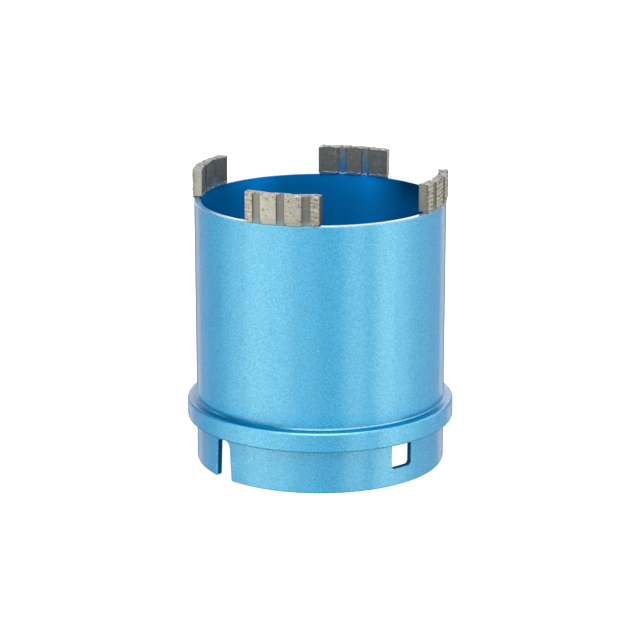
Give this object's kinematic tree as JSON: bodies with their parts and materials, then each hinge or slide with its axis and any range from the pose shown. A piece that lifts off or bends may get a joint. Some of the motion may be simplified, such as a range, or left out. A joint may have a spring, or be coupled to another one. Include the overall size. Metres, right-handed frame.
{
  "type": "core drill bit",
  "caption": "Short steel core drill barrel, open at both ends, with a stop ring, drive notches and windows at its foot and grooved cutting segments welded to its rim.",
  "frame": {"origin": "on the drilling axis, at the open foot of the barrel", "axes": "+Z along the drilling axis towards the cutting face; the drive notches face -Y and +Y, the windows face -X and +X"},
  "size_m": [0.087, 0.087, 0.0957],
  "materials": {
    "body_paint": "light metallic blue spray paint with a fine sparkle",
    "segment_metal": "ground sintered metal with pits and grit",
    "weld_metal": "heat-tinted weld metal"
  },
  "bodies": {
    "root": {"barrel": "body_paint", "stop_ring": "body_paint", "ring_braze": "body_paint", "segment_1": "segment_metal", "segment_2": "segment_metal", "segment_3": "segment_metal", "segment_4": "segment_metal", "weld_seam_1": "weld_metal", "weld_seam_2": "weld_metal", "weld_seam_3": "weld_metal", "weld_seam_4": "weld_metal"}
  },
  "joints": []
}
